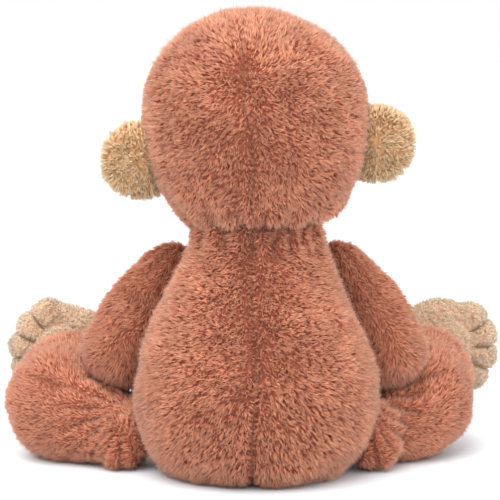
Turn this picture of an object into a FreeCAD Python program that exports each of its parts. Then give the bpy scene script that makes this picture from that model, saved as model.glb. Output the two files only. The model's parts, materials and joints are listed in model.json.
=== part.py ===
"""Seated plush monkey, built as it is sewn: cloth panels, filling, bean pouch, safety eyes and stitches.

Frame: +Z up, the monkey looks along -Y, its left side is +X. The origin is the middle of the flat seat,
on the surface that the monkey sits on. Millimetres.
"""
import FreeCAD, Part
import math
import os

from FreeCAD import Placement, Rotation, Vector
from Sketcher import Constraint

doc = FreeCAD.newDocument("plush_monkey")
sheet = doc.addObject("Spreadsheet::Sheet", "Sizes")

SIZES = {
    # cloth and clearances
    "skin": 5.0,  # panel thickness, backing and pressed pile together
    "gap": 0.4,  # between a panel and the filling inside it
    "seam": 0.15,  # each panel stops this far short of the seam line
    "seam_angle": 0.2,  # the same at a turned panel, in degrees
    "socket_gap": 0.6,  # between bodies that turn in one another
    "overshoot": 400.0,  # side of the blocks that halve a piece
    "through": 80.0,  # length of a tool that passes right through a panel
    # torso
    "base_radius": 54.0,
    "belly_radius": 77.0,
    "belly_height": 50.0,
    "back_curve": 110.0,  # radius of the outline above the belly
    "neck_radius": 43.0,
    "torso_height": 152.0,
    "pouch_radius": 40.0,
    "pouch_height": 28.0,
    "pouch_wall": 1.2,
    "pouch_round": 10.0,
    # neck
    "neck_ball": 24.0,
    "neck_height": 158.0,
    # head
    "head_radius": 72.5,
    "head_height": 230.0,
    "head_tilt": 4.0,
    "front_edge": 35.0,  # degrees forward of the ear where the face begins
    "brow_height": 27.0,
    "muzzle_radius": 26.0, "muzzle_thick": 21.0, "muzzle_rim": 15.0,
    "muzzle_forward": 61.0,
    "muzzle_drop": 24.0,
    "nose_radius": 6.5,
    "nose_thick": 2.2,
    "nose_drop": 15.0,
    "mouth_radius": 12.0,
    "thread": 1.2,
    "eye_radius": 6.5,
    "eye_out": 22.0,
    "eye_up": 6.0,
    "eye_post": 1.6,
    "eye_post_long": 15.0,
    "eye_seat": 0.1,  # between the eye and the cloth under it
    "post_fit": 0.05,  # between the post and its washer
    "washer_radius": 6.0,
    "washer_thick": 2.0,
    # ears
    "ear_radius": 25.0, "ear_thick": 11.5, "ear_rim": 9.0,
    "ear_out": 77.0,
    "ear_drop": 19.0,
    "ear_skin": 4.0,
    "ear_gap": 2.6,
    # arm: out, forward and height of each ball along it, and its radius
    "shoulder_out": 57.0, "shoulder_forward": 40.0, "shoulder_height": 132.0, "shoulder_radius": 16.0,
    "elbow_out": 91.0, "elbow_forward": 35.0, "elbow_height": 84.0, "elbow_radius": 20.0,
    "wrist_out": 72.0, "wrist_forward": 92.0, "wrist_height": 90.0, "wrist_radius": 16.0,
    # hand
    "hand_out": 62.0, "hand_forward": 109.0, "hand_height": 70.0,
    "hand_radius": 22.0, "hand_thick": 12.5, "hand_rim": 9.5,
    "hand_tip_radius": 7.0, "hand_tip_reach": 18.0, "hand_tip_step": 31.0,
    # leg: the same, for each side, because the legs lie a little differently
    "hip_radius": 15.0, "knee_radius": 35.0, "ankle_radius": 33.0,
    "left_hip_out": 84.0, "left_hip_forward": 26.0, "left_hip_height": 16.0,
    "left_knee_out": 131.0, "left_knee_forward": 45.0, "left_knee_height": 35.0,
    "left_ankle_out": 128.0, "left_ankle_forward": 92.0, "left_ankle_height": 46.0,
    "right_hip_out": 80.0, "right_hip_forward": 34.0, "right_hip_height": 16.0,
    "right_knee_out": 115.0, "right_knee_forward": 60.0, "right_knee_height": 35.0,
    "right_ankle_out": 119.0, "right_ankle_forward": 104.0, "right_ankle_height": 47.0,
    "rod_turn": 37.0,  # keeps a rod's own start line away from the cloth's seam plane
    # foot
    "left_foot_out": 134.0, "left_foot_forward": 124.0, "left_foot_height": 60.0,
    "right_foot_out": 130.0, "right_foot_forward": 131.0, "right_foot_height": 61.0,
    "foot_radius": 33.0, "foot_thick": 17.0, "foot_rim": 12.0,
    "foot_tip_radius": 9.5, "foot_tip_reach": 31.0, "foot_tip_step": 28.0,
    "foot_rise": 8.0,  # degrees that the toes point up from level
    # stitches between fingers and toes
    "stitch_wide": 1.6,
    "stitch_long": 13.0,
    "stitch_lift": 0.2,
}


def fill_sheet():
    """Writes every driving size in its own row, with its alias."""
    for row, (alias, value) in enumerate(SIZES.items(), start=1):
        sheet.set(f"A{row}", alias)
        sheet.set(f"B{row}", str(value))
        sheet.setAlias(f"B{row}", alias)
    doc.recompute()


fill_sheet()

pieces = []
used_names = {}


def size(alias):
    return float(sheet.get(alias))


def cell(alias):
    return f"Sizes.{alias}"


def value_of(expression):
    """The value of a sum of sheet cells and numbers."""
    total = 0.0
    for term in expression.replace("-", "+-").replace(" ", "").split("+"):
        sign = -1 if term.startswith("-") else 1
        word = term.lstrip("-")
        if word:
            total += sign * (size(word.split(".")[1]) if word.startswith("Sizes.") else float(word))
    return total


def new_name(stem):
    """A document name that nothing has yet."""
    used_names[stem] = used_names.get(stem, 0) + 1
    return f"{stem}_{used_names[stem]}"


def made(kind, stem, placement=None, **expressions):
    """A document object of this kind with its sizes bound to the sheet."""
    item = doc.addObject(kind, new_name(stem))
    for prop, expression in expressions.items():
        item.setExpression(prop, expression)
    if placement is not None:
        item.Placement = placement
    return item


def keep(item, label):
    """Marks an object as a sub-part; its label names its file."""
    item.Label = label
    pieces.append(item)
    return item


def at(x, y, z):
    return Placement(Vector(x, y, z), Rotation())


def aimed(point, direction):
    """A placement at a point whose Z axis looks along a direction."""
    return Placement(point, Rotation(Vector(0, 0, 1), direction))


def axes_rotation(x_axis, z_axis):
    """The rotation that takes local X and Z to two square directions."""
    return Rotation(x_axis, z_axis.cross(x_axis), z_axis, "ZXY")


# ---------------------------------------------------------------- shared shapes

def ball(stem, radius, point):
    return made("Part::Sphere", stem, Placement(point, Rotation()), Radius=radius)


def ball_sector(stem, radius, placement, sweep):
    """The part of a ball between two half planes through its Z axis, starting at +X."""
    return made("Part::Sphere", stem, placement, Radius=radius, Angle3=sweep)


def cylinder(stem, radius, height, placement):
    return made("Part::Cylinder", stem, placement, Radius=radius, Height=height)


def block(stem, wide, deep, tall, placement):
    """A box centred on its placement in X and Y, standing on it in Z."""
    item = made("Part::Box", stem, None, Length=wide, Width=deep, Height=tall)
    doc.recompute()
    centre = Placement(Vector(-item.Length.Value / 2, -item.Width.Value / 2, 0), Rotation())
    item.Placement = placement.multiply(centre)
    return item


def cut(stem, base, tool):
    item = made("Part::Cut", stem)
    item.Base, item.Tool = base, tool
    return item


def common(stem, base, tool):
    item = made("Part::Common", stem)
    item.Base, item.Tool = base, tool
    return item


def fuse(stem, shapes):
    item = made("Part::MultiFuse", stem)
    item.Shapes = shapes
    return item


def half(stem, point, direction):
    """The block on one side of a seam plane, stopping short of the seam itself."""
    reach = cell("overshoot")
    start = point + direction * size("seam")
    return block(stem, reach, reach, reach, aimed(start, direction))


def origin_plane(body, role):
    return next(item for item in body.Origin.OriginFeatures if item.Role == role)


def body_sketch(body, stem):
    """A sketch on the body's own XZ plane."""
    sketch = body.newObject("Sketcher::SketchObject", new_name(stem))
    sketch.AttachmentSupport = [(origin_plane(body, "XZ_Plane"), "")]
    sketch.MapMode = "FlatFace"
    return sketch


def revolve(body, sketch, angle="360"):
    """Turns the sketch about the body's Z axis."""
    turn = body.newObject("PartDesign::Revolution", new_name("Turn"))
    turn.Profile = sketch
    turn.ReferenceAxis = (sketch, ["V_Axis"])
    turn.setExpression("Angle", angle)
    sketch.Visibility = False
    return turn


def named(sketch, constraint, name, expression):
    """Adds a constraint whose value follows the sheet."""
    index = sketch.addConstraint(constraint)
    sketch.renameConstraint(index, name)
    sketch.setExpression(f"Constraints.{name}", expression)


def arc(centre, radius, start, end):
    """An arc in the sketch plane, from one angle to another, in degrees."""
    middle = Part.Circle(Vector(*centre, 0), Vector(0, 0, 1), radius)
    return Part.ArcOfCircle(middle, math.radians(start), math.radians(end))


def line(start, end):
    return Part.LineSegment(Vector(*start, 0), Vector(*end, 0))


def on_circle(centre, radius, degrees):
    angle = math.radians(degrees)
    return (centre[0] + radius * math.cos(angle), centre[1] + radius * math.sin(angle))


def puff(kind, grow, placement):
    """A round pad with crowned faces and a rounded rim, grown by an expression.

    It turns about its local Z. The rim and the faces are arcs that meet without a crease.
    """
    radius, thick, rim = (size(f"{kind}_{part}") for part in ("radius", "thick", "rim"))
    middle = radius - rim
    extra = value_of(grow)
    crown = (middle**2 + thick**2 - rim**2) / (2 * (thick - rim))
    lean = math.degrees(math.atan2(crown - thick, middle))
    top, bottom = (0, thick - crown), (0, crown - thick)

    body = doc.addObject("PartDesign::Body", new_name("Puff"))
    sketch = body_sketch(body, "PuffHalf")
    sketch.addGeometry(
        [
            arc((middle, 0), rim + extra, -lean, lean),
            arc(top, crown + extra, lean, 90),
            line((0, thick + extra), (0, -thick - extra)),
            arc(bottom, crown + extra, -90, -lean),
        ],
        False,
    )
    sketch.addConstraint(
        [
            Constraint("Tangent", 0, 2, 1, 1),
            Constraint("Coincident", 1, 2, 2, 1),
            Constraint("Coincident", 2, 2, 3, 1),
            Constraint("Tangent", 3, 2, 0, 1),
            Constraint("PointOnObject", 0, 3, -1),
            Constraint("PointOnObject", 1, 3, -2),
            Constraint("PointOnObject", 3, 3, -2),
            Constraint("PointOnObject", 1, 2, -2),
            Constraint("PointOnObject", 3, 1, -2),
        ]
    )
    named(
        sketch, Constraint("DistanceX", -1, 1, 0, 3, middle), "middle",
        f"{cell(f'{kind}_radius')} - {cell(f'{kind}_rim')}",
    )
    named(sketch, Constraint("Radius", 0, rim + extra), "rim", f"{cell(f'{kind}_rim')} + ({grow})")
    named(
        sketch, Constraint("DistanceY", -1, 1, 1, 2, thick + extra), "crown",
        f"{cell(f'{kind}_thick')} + ({grow})",
    )
    named(
        sketch, Constraint("DistanceY", 3, 1, -1, 1, thick + extra), "sole",
        f"{cell(f'{kind}_thick')} + ({grow})",
    )
    revolve(body, sketch)
    body.Placement = placement
    return body


# ---------------------------------------------------------------- torso

def torso_outline(inset):
    """Corner points and arcs of the torso's outline, moved in by an inset."""
    belly, base, height = size("belly_radius"), size("base_radius"), size("belly_height")
    low_radius = (height**2 + (belly - base) ** 2) / (2 * (belly - base))
    low_centre = (belly - low_radius, height)
    high_radius = size("back_curve")
    high_centre = (belly - high_radius, height)
    run = size("neck_radius") - high_centre[0]
    rise = size("torso_height") - height
    reach = math.hypot(run, rise)
    lean = math.degrees(math.atan2(rise, run) - math.acos(high_radius / reach))
    return low_centre, low_radius - inset, high_centre, high_radius - inset, lean


def angle_at_height(centre, radius, height):
    return math.degrees(math.asin((height - centre[1]) / radius))


def slope_end(point, lean, height):
    """Where the straight line that leaves a point square to the lean reaches a height."""
    rise = height - point[1]
    return (point[0] - rise * math.tan(math.radians(lean)), height)


def torso_panel(label, turn_degrees):
    """A quarter of the torso's cloth, from the seat's edge to the neck."""
    skin = size("skin")
    low_centre, low_outer, high_centre, high_outer, lean = torso_outline(0)
    low_inner, high_inner = low_outer - skin, high_outer - skin
    low_start = angle_at_height(low_centre, low_outer, 0)
    inner_start = angle_at_height(low_centre, low_inner, 0)
    outer_bend = on_circle(high_centre, high_outer, lean)
    inner_bend = on_circle(high_centre, high_inner, lean)
    outer_top = slope_end(outer_bend, lean, size("torso_height"))
    inner_top = slope_end(inner_bend, lean, size("torso_height"))

    body = doc.addObject("PartDesign::Body", new_name("TorsoPanel"))
    sketch = body_sketch(body, "PanelWall")
    sketch.addGeometry(
        [
            arc(low_centre, low_outer, low_start, 0),
            arc(high_centre, high_outer, 0, lean),
            line(outer_bend, outer_top),
            line(outer_top, inner_top),
            line(inner_top, inner_bend),
            arc(high_centre, high_inner, 0, lean),
            arc(low_centre, low_inner, inner_start, 0),
            line(
                on_circle(low_centre, low_inner, inner_start), on_circle(low_centre, low_outer, low_start)
            ),
        ],
        False,
    )
    sketch.addConstraint(
        [
            Constraint("Tangent", 0, 2, 1, 1),
            Constraint("Tangent", 1, 2, 2, 1),
            Constraint("Coincident", 2, 2, 3, 1),
            Constraint("Coincident", 3, 2, 4, 1),
            Constraint("Tangent", 4, 2, 5, 2),
            Constraint("Tangent", 5, 1, 6, 2),
            Constraint("Coincident", 6, 1, 7, 1),
            Constraint("Coincident", 7, 2, 0, 1),
            Constraint("Coincident", 0, 3, 6, 3),
            Constraint("Coincident", 1, 3, 5, 3),
            Constraint("Horizontal", 3),
            Constraint("PointOnObject", 0, 1, -1),
            Constraint("PointOnObject", 6, 1, -1),
            Constraint("Horizontal", 0, 3, 0, 2),
        ]
    )
    named(sketch, Constraint("DistanceX", -1, 1, 0, 2, size("belly_radius")), "belly", cell("belly_radius"))
    named(sketch, Constraint("DistanceY", -1, 1, 0, 2, size("belly_height")), "waist", cell("belly_height"))
    named(sketch, Constraint("DistanceX", -1, 1, 0, 1, size("base_radius")), "base", cell("base_radius"))
    named(sketch, Constraint("Radius", 1, size("back_curve")), "back", cell("back_curve"))
    named(sketch, Constraint("DistanceX", -1, 1, 2, 2, size("neck_radius")), "neck", cell("neck_radius"))
    named(sketch, Constraint("DistanceY", -1, 1, 2, 2, size("torso_height")), "top", cell("torso_height"))
    named(sketch, Constraint("Radius", 5, high_inner), "lining", f"{cell('back_curve')} - {cell('skin')}")
    revolve(body, sketch, f"90 - 2 * {cell('seam_angle')}")
    turned = Rotation(Vector(0, 0, 1), turn_degrees + size("seam_angle"))
    body.Placement = Placement(Vector(0, 0, 0), turned)
    return keep(body, label)


def torso_core():
    """The space inside the torso's cloth, as a solid of revolution."""
    inset = size("skin") + size("gap")
    floor = inset
    roof = size("torso_height") - size("gap")
    low_centre, low_radius, high_centre, high_radius, lean = torso_outline(inset)
    low_start = angle_at_height(low_centre, low_radius, floor)
    bottom = on_circle(low_centre, low_radius, low_start)
    bend = on_circle(high_centre, high_radius, lean)
    top = slope_end(bend, lean, roof)

    body = doc.addObject("PartDesign::Body", new_name("TorsoCore"))
    sketch = body_sketch(body, "CoreHalf")
    sketch.addGeometry(
        [
            arc(low_centre, low_radius, low_start, 0),
            arc(high_centre, high_radius, 0, lean),
            line(bend, top),
            line(top, (0, roof)),
            line((0, roof), (0, floor)),
            line((0, floor), bottom),
        ],
        False,
    )
    sketch.addConstraint(
        [
            Constraint("Tangent", 0, 2, 1, 1),
            Constraint("Tangent", 1, 2, 2, 1),
            Constraint("Coincident", 2, 2, 3, 1),
            Constraint("Coincident", 3, 2, 4, 1),
            Constraint("Coincident", 4, 2, 5, 1),
            Constraint("Coincident", 5, 2, 0, 1),
            Constraint("Horizontal", 3),
            Constraint("PointOnObject", 3, 2, -2),
            Constraint("Vertical", 4),
            Constraint("Horizontal", 5),
            Constraint("Horizontal", 0, 3, 0, 2),
        ]
    )
    lining = f"{cell('skin')} - {cell('gap')}"
    named(
        sketch, Constraint("DistanceX", -1, 1, 0, 2, size("belly_radius") - inset), "belly",
        f"{cell('belly_radius')} - {lining}",
    )
    named(sketch, Constraint("DistanceY", -1, 1, 0, 2, size("belly_height")), "waist", cell("belly_height"))
    named(sketch, Constraint("Radius", 1, high_radius), "back", f"{cell('back_curve')} - {lining}")
    named(
        sketch, Constraint("DistanceY", -1, 1, 2, 2, roof), "roof",
        f"{cell('torso_height')} - {cell('gap')}",
    )
    named(
        sketch, Constraint("DistanceY", -1, 1, 5, 2, floor), "floor", f"{cell('skin')} + {cell('gap')}"
    )
    revolve(body, sketch)
    return body


def round_pad(stem, radius, height, edge, floor):
    """A flat round pad with rounded rims, standing at a height."""
    disc = cylinder(stem, radius, height, at(0, 0, floor))
    doc.recompute()
    pad = made("Part::Fillet", stem)
    pad.Base = disc
    rims = [i + 1 for i, e in enumerate(disc.Shape.Edges) if len(e.Vertexes) == 1]
    doc.recompute()
    pad.Edges = [(i, edge, edge) for i in rims]
    return pad


def torso():
    """Back and belly panels, seat, filling, and the pouch of beans that weighs the seat down."""
    torso_panel("torso_back_left_panel", 0)
    torso_panel("torso_back_right_panel", 90)
    torso_panel("torso_belly_right_panel", 180)
    torso_panel("torso_belly_left_panel", 270)

    skin, gap, wall = size("skin"), size("gap"), size("pouch_wall")
    low_centre, low_radius, *_ = torso_outline(skin + gap)
    seat_radius = on_circle(low_centre, low_radius, angle_at_height(low_centre, low_radius, 0))[0]
    seat = made("Part::Cylinder", "Seat", None, Height=cell("skin"))
    seat.Radius = seat_radius
    keep(seat, "seat_panel")

    floor = skin + gap
    radius, height = cell("pouch_radius"), cell("pouch_height")
    outer = round_pad("Pouch", radius, height, size("pouch_round"), floor)
    inner_height = f"{height} - 2 * {cell('pouch_wall')}"
    hollow = round_pad(
        "Hollow", f"{radius} - {cell('pouch_wall')}", inner_height, size("pouch_round") - wall, floor + wall
    )
    keep(cut("Pouch", outer, hollow), "bean_pouch")
    beans = round_pad(
        "Beans",
        f"{radius} - {cell('pouch_wall')} - {cell('gap')}",
        f"{inner_height} - 2 * {cell('gap')}",
        size("pouch_round") - wall - gap,
        floor + wall + gap,
    )
    keep(beans, "bean_filling")

    well = cylinder("Well", f"{radius} + {cell('gap')}", f"{height} + {cell('gap')}", at(0, 0, floor))
    neck_point = Vector(0, 0, size("neck_height"))
    neck_well = ball("NeckWell", f"{cell('neck_ball')} + {cell('socket_gap')}", neck_point)
    keep(cut("Filling", torso_core(), fuse("Wells", [well, neck_well])), "torso_filling")
    keep(ball("NeckBall", cell("neck_ball"), neck_point), "neck_filling")


# ---------------------------------------------------------------- head

HEAD = Placement(
    Vector(0, 0, size("head_height")), Rotation(Vector(0, 1, 0), size("head_tilt"))
)


def on_head(x, y, z, rotation=None):
    """A placement given in the tilted head's own axes."""
    return HEAD.multiply(Placement(Vector(x, y, z), rotation or Rotation()))


def head_ball(stem, grow):
    """The head's outline grown by an expression."""
    return made("Part::Sphere", stem, on_head(0, 0, 0), Radius=f"{cell('head_radius')} + ({grow})")


def facing(x, y, z):
    """A placement in the head's axes whose Z axis looks the way the face does."""
    return on_head(x, y, z, Rotation(Vector(0, 0, 1), Vector(0, -1, 0)))


def muzzle_puff(grow):
    return puff("muzzle", grow, facing(0, -size("muzzle_forward"), -size("muzzle_drop")))


def ear_puff(side, grow):
    return puff("ear", grow, facing(side * size("ear_out"), 0, -size("ear_drop")))


def forward_rod(stem, radius, length, x, y, z):
    """A rod in the head's axes whose axis runs along Y, from y towards the face."""
    return cylinder(stem, radius, length, facing(x, y, z))


def face_depth(x, z):
    """How far in front of the head's middle its outline lies, in the head's axes."""
    return math.sqrt(size("head_radius") ** 2 - x**2 - z**2)


def eye_parts():
    """Two safety eyes, with the washers that lock them inside, and the space that both need."""
    holes, pockets = [], []
    out, up = size("eye_out"), size("eye_up")
    depth = face_depth(out, up)
    inside = depth - size("skin") - size("gap")
    for side, name in ((1, "left"), (-1, "right")):
        front = facing(side * out, -depth, up)
        dome = made("Part::Sphere", "EyeDome", front, Radius=cell("eye_radius"))
        cap = cut("EyeCap", dome, head_ball("EyeSeat", cell("eye_seat")))
        post_long = f"{cell('eye_post_long')} + {cell('eye_radius')} / 2"
        start = depth - size("eye_post_long")
        post = forward_rod("EyePost", cell("eye_post"), post_long, side * out, -start, up)
        keep(fuse("Eye", [cap, post]), f"{name}_eye")

        slack = f"{cell('eye_post')} + {cell('gap')}"
        washer_back = inside - 2.5 * size("washer_thick")
        disc = forward_rod(
            "Washer", cell("washer_radius"), cell("washer_thick"), side * out, -washer_back, up
        )
        fit = f"{cell('eye_post')} + {cell('post_fit')}"
        bore = forward_rod("WasherBore", fit, cell("through"), side * out, 0, up)
        keep(cut("Washer", disc, bore), f"{name}_eye_washer")

        through = cell("through")
        holes.append(forward_rod("EyeHole", slack, through, side * out, 0, up))
        wide = f"{cell('washer_radius')} + {cell('gap')}"
        pocket = forward_rod("WasherPocket", wide, through, side * out, size("gap") - washer_back, up)
        channel = forward_rod("PostChannel", slack, through, side * out, size("gap") - start, up)
        pockets += [pocket, channel]
    return holes, pockets


def head_panels(holes):
    """The head's cloth: four fur panels, the forehead, and the bare-looking face below it."""
    front = size("front_edge")
    sectors = [
        ("head_back_left_panel", 0, 90),
        ("head_back_right_panel", 90, 90),
        ("head_side_right_panel", 180, front),
        ("head_side_left_panel", 360 - front, front),
        ("front", 180 + front, 180 - 2 * front),
    ]
    neck_hole = ball(
        "NeckHole", f"{cell('neck_ball')} + {cell('socket_gap')}", Vector(0, 0, size("neck_height"))
    )
    for label, start, sweep in sectors:
        angle = f"{sweep} - 2 * {cell('seam_angle')}"
        turned = on_head(0, 0, 0, Rotation(Vector(0, 0, 1), start + size("seam_angle")))
        wedge = ball_sector("HeadWedge", cell("head_radius"), turned, angle)
        shell = cut("HeadShell", wedge, head_ball("HeadLining", f"-{cell('skin')}"))
        panel = cut("HeadPanel", shell, neck_hole)
        if label != "front":
            keep(panel, label)
            continue
        brow = on_head(0, 0, size("brow_height")).Base
        up = HEAD.Rotation.multVec(Vector(0, 0, 1))
        keep(common("Forehead", panel, half("BrowHalf", brow, up)), "forehead_panel")
        face = common("Face", panel, half("FaceHalf", brow, up * -1))
        keep(cut("FaceHoles", face, fuse("EyeHoles", holes)), "face_panel")


def muzzle_parts():
    """The muzzle's cloth and filling, the nose and the sewn mouth line."""
    seat = head_ball("MuzzleSeat", cell("gap"))
    shell = cut("MuzzleShell", muzzle_puff("0"), muzzle_puff(f"-{cell('ear_skin')}"))
    keep(cut("Muzzle", shell, seat), "muzzle_panel")
    core = muzzle_puff(f"-{cell('ear_skin')} - {cell('gap')}")
    keep(cut("MuzzleFilling", core, seat), "muzzle_filling")

    lift = cell("stitch_lift")
    pad = cut("NoseSheet", muzzle_puff(cell("nose_thick")), muzzle_puff(lift))
    depth = size("muzzle_forward")
    through = cell("through")
    outline = forward_rod("NoseOutline", cell("nose_radius"), through, 0, -depth, -size("nose_drop"))
    keep(common("Nose", pad, outline), "nose")

    thread = cut("MouthSheet", muzzle_puff(f"{lift} + {cell('thread')}"), muzzle_puff(lift))
    centre = facing(0, -depth, -size("muzzle_drop") + size("mouth_radius") / 4)
    outer = cylinder("MouthOuter", cell("mouth_radius"), through, centre)
    inner = cylinder("MouthInner", f"{cell('mouth_radius')} - {cell('stitch_wide')}", through, centre)
    ring = common("MouthRing", thread, cut("MouthBand", outer, inner))
    below = on_head(0, 0, -size("muzzle_drop") - size("mouth_radius") / 8).Base
    down = HEAD.Rotation.multVec(Vector(0, 0, -1))
    keep(common("Mouth", ring, half("MouthHalf", below, down)), "mouth_stitching")


def head():
    holes, pockets = eye_parts()
    head_panels(holes)
    neck_hole = ball(
        "NeckHollow", f"{cell('neck_ball')} + {cell('socket_gap')}", Vector(0, 0, size("neck_height"))
    )
    core = head_ball("HeadCore", f"-{cell('skin')} - {cell('gap')}")
    keep(cut("HeadFilling", core, fuse("HeadHollows", [neck_hole, *pockets])), "head_filling")
    muzzle_parts()


def ears():
    """Each ear is two round panels and their filling, clear of the head so that it can flop."""
    clear = head_ball("EarClear", cell("ear_gap"))
    forward = HEAD.Rotation.multVec(Vector(0, -1, 0))
    for side, name in ((1, "left"), (-1, "right")):
        shell = cut("EarShell", ear_puff(side, "0"), ear_puff(side, f"-{cell('ear_skin')}"))
        ring = cut("EarRing", shell, clear)
        middle = on_head(side * size("ear_out"), 0, -size("ear_drop")).Base
        keep(common("EarFront", ring, half("EarHalf", middle, forward)), f"{name}_ear_front_panel")
        keep(common("EarBack", ring, half("EarHalf", middle, forward * -1)), f"{name}_ear_back_panel")
        core = ear_puff(side, f"-{cell('ear_skin')} - {cell('gap')}")
        keep(cut("EarFilling", core, clear), f"{name}_ear_filling")


# ---------------------------------------------------------------- limbs

def joint_point(name, side):
    """A limb's ball centre in the limb's own frame, from its three sheet cells."""
    return Vector(side * size(f"{name}_out"), -size(f"{name}_forward"), size(f"{name}_height"))


def radius_cell(name):
    """The radius of a named ball, which both sides share."""
    return f"{name.split('_')[-1]}_radius"


def distance_between(first, second):
    """The distance between two named points, as a sheet expression."""
    terms = [
        f"({cell(f'{second}_{way}')} - {cell(f'{first}_{way}')})^2" for way in ("out", "forward", "height")
    ]
    return f"sqrt({' + '.join(terms)})"


def tapered_rod(first, second, side, inset):
    """A rod with a ball at each end, running between two named points of a limb."""
    start, end = (joint_point(name, side) for name in (first, second))
    near, far = (size(radius_cell(name)) - value_of(inset) for name in (first, second))
    length = start.distanceToPoint(end)
    lean = math.degrees(math.acos((near - far) / length))
    tangent_near, tangent_far = on_circle((0, 0), near, 90 - lean), on_circle((0, length), far, 90 - lean)

    body = doc.addObject("PartDesign::Body", new_name("Rod"))
    sketch = body_sketch(body, "RodHalf")
    sketch.addGeometry(
        [
            arc((0, 0), near, -90, 90 - lean),
            line(tangent_near, tangent_far),
            arc((0, length), far, 90 - lean, 90),
            line((0, length + far), (0, -near)),
        ],
        False,
    )
    sketch.addConstraint(
        [
            Constraint("Coincident", 0, 3, -1, 1),
            Constraint("Tangent", 0, 2, 1, 1),
            Constraint("Tangent", 1, 2, 2, 1),
            Constraint("Coincident", 2, 2, 3, 1),
            Constraint("Coincident", 3, 2, 0, 1),
            Constraint("PointOnObject", 2, 3, -2),
            Constraint("PointOnObject", 2, 2, -2),
            Constraint("PointOnObject", 0, 1, -2),
        ]
    )
    named(sketch, Constraint("Radius", 0, near), "near", f"{cell(radius_cell(first))} - ({inset})")
    named(sketch, Constraint("Radius", 2, far), "far", f"{cell(radius_cell(second))} - ({inset})")
    named(
        sketch, Constraint("DistanceY", 0, 3, 2, 3, length), "length", distance_between(first, second)
    )
    revolve(body, sketch)
    start_line = Placement(Vector(0, 0, 0), Rotation(Vector(0, 0, 1), size("rod_turn")))
    body.Placement = aimed(start, end - start).multiply(start_line)
    return body


def bent_limb(names, side, inset):
    """Two tapered rods that share the ball between them."""
    rods = [tapered_rod(a, b, side, inset) for a, b in zip(names, names[1:])]
    return fuse("Limb", rods)


def limb_panels(prefix, labels, names, side, seam_direction):
    """A limb's two panels and its filling; the seam plane holds the limb's middle ball."""
    filling_inset = f"{cell('skin')} + {cell('gap')}"
    shell = cut("LimbShell", bent_limb(names, side, "0"), bent_limb(names, side, cell("skin")))
    middle = joint_point(names[1], side)
    for label, direction in zip(labels, (seam_direction, seam_direction * -1)):
        keep(common("LimbPanel", shell, half("LimbHalf", middle, direction)), f"{prefix}_{label}")
    keep(bent_limb(names, side, filling_inset), f"{prefix}_filling")


def paddle(kind, placement, grow, tips):
    """A hand or foot: a round puff with a row of round tips on its end, grown by an expression.

    Its long axis is local X and its flat faces look along local Z.
    """
    parts = [puff(kind, grow, placement)]
    for degrees in tip_angles(kind, tips):
        tip = placement.multVec(rim_point(kind, degrees))
        parts.append(ball("Tip", f"{cell(f'{kind}_tip_radius')} + ({grow})", tip))
    return fuse("PaddleForm", parts)


def tip_angles(kind, tips):
    step = size(f"{kind}_tip_step")
    return [step * (i - (tips - 1) / 2) for i in range(tips)]


def rim_point(kind, degrees):
    """The centre of a fingertip or toe, or a point between two of them."""
    x, y = on_circle((0, 0), size(f"{kind}_tip_reach"), degrees)
    return Vector(x, y, 0)


def paddle_parts(prefix, labels, kind, placement, socket, tips):
    """The two panels, filling and stitches of a hand or foot, hollowed where it meets its limb."""
    lining = cell("ear_skin")
    shell = cut(
        "PaddleShell", paddle(kind, placement, "0", tips), paddle(kind, placement, f"-{lining}", tips)
    )
    ring = cut("PaddleRing", shell, socket)
    centre = placement.Base
    flat = placement.Rotation.multVec(Vector(0, 0, 1))
    for label, direction in zip(labels, (flat, flat * -1)):
        keep(common("PaddlePanel", ring, half("PaddleHalf", centre, direction)), f"{prefix}_{label}")
    core = paddle(kind, placement, f"-{lining} - {cell('gap')}", tips)
    keep(cut("PaddleFilling", core, socket), f"{prefix}_filling")

    lift = cell("stitch_lift")
    thread = cut(
        "StitchSheet",
        paddle(kind, placement, f"{lift} + {cell('thread')}", tips),
        paddle(kind, placement, lift, tips),
    )
    angles = tip_angles(kind, tips)
    bars = []
    for first, second in zip(angles, angles[1:]):
        rim = rim_point(kind, (first + second) / 2)
        inward = Vector(rim).normalize() * -1
        bar = placement.multiply(Placement(rim, axes_rotation(Vector(0, 0, 1), inward)))
        bars.append(block("StitchBar", cell("through"), cell("stitch_wide"), cell("stitch_long"), bar))
    strips = cut("Stitches", common("StitchStrips", thread, fuse("StitchBars", bars)), socket)
    one_side = half("StitchHalf", centre, flat)
    keep(common("StitchFace", strips, one_side), f"{prefix}_stitches")


def arms():
    """Arms hang down and bend forward at the elbow; the hands rest between the legs."""
    for side, name in ((1, "left"), (-1, "right")):
        names = ["shoulder", "elbow", "wrist"]
        points = [joint_point(joint, side) for joint in names]
        across = (points[1] - points[0]).cross(points[2] - points[1]).normalize()
        outward = across if across.x * side > 0 else across * -1
        limb_panels(f"{name}_arm", ("outer_panel", "inner_panel"), names, side, outward)
        hand = joint_point("hand", side)
        along = (hand - points[2]).normalize()
        thin = outward.cross(along).normalize() * side
        place = Placement(hand, axes_rotation(along, thin))
        socket = ball("WristSocket", f"{cell('wrist_radius')} + {cell('socket_gap')}", points[2])
        labels = ("back_panel", "palm_panel")
        paddle_parts(f"{name}_hand", labels, "hand", place, socket, 4)


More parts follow.
